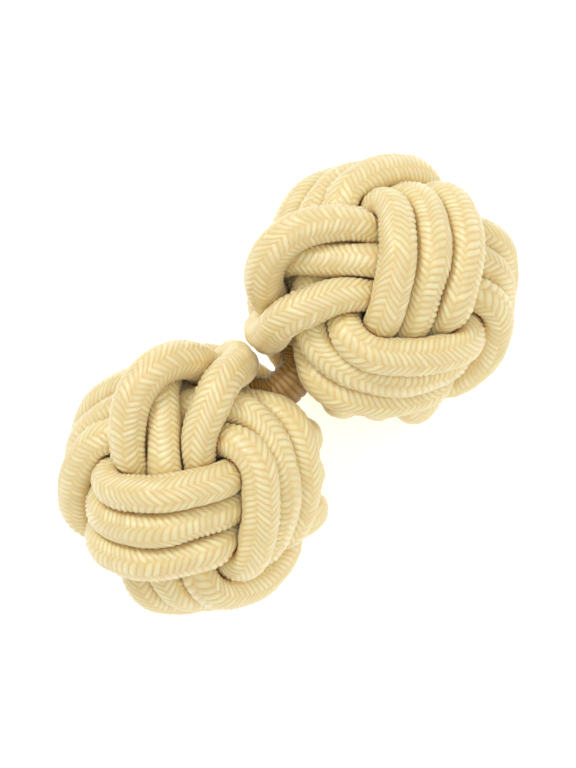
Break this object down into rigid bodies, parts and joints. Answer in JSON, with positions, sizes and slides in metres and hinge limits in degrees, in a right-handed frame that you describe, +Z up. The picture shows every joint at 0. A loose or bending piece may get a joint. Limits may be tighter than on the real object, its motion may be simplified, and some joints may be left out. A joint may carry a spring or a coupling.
{
  "type": "silk knot cuff button",
  "caption": "Cuff button of two balls, each knotted of one soft braided cord, joined by a short double cord that goes through the cuff's buttonholes.",
  "frame": {"origin": "middle of the part's foot on the surface it lies on", "axes": "+X along the shank, from the lower to the upper ball; +Z up, as the part lies by itself"},
  "size_m": [0.023, 0.0116, 0.0126],
  "materials": {
    "braid": "silky braided cord, pale butter yellow",
    "shank_braid": "braided elastic cord, shaded golden brown"
  },
  "bodies": {
    "root": {"upper_knot_pass_1": "braid", "upper_knot_pass_2": "braid", "upper_knot_pass_3": "braid", "lower_knot_pass_1": "braid", "lower_knot_pass_2": "braid", "lower_knot_pass_3": "braid", "shank_cord_1": "shank_braid", "shank_cord_2": "shank_braid"}
  },
  "joints": []
}
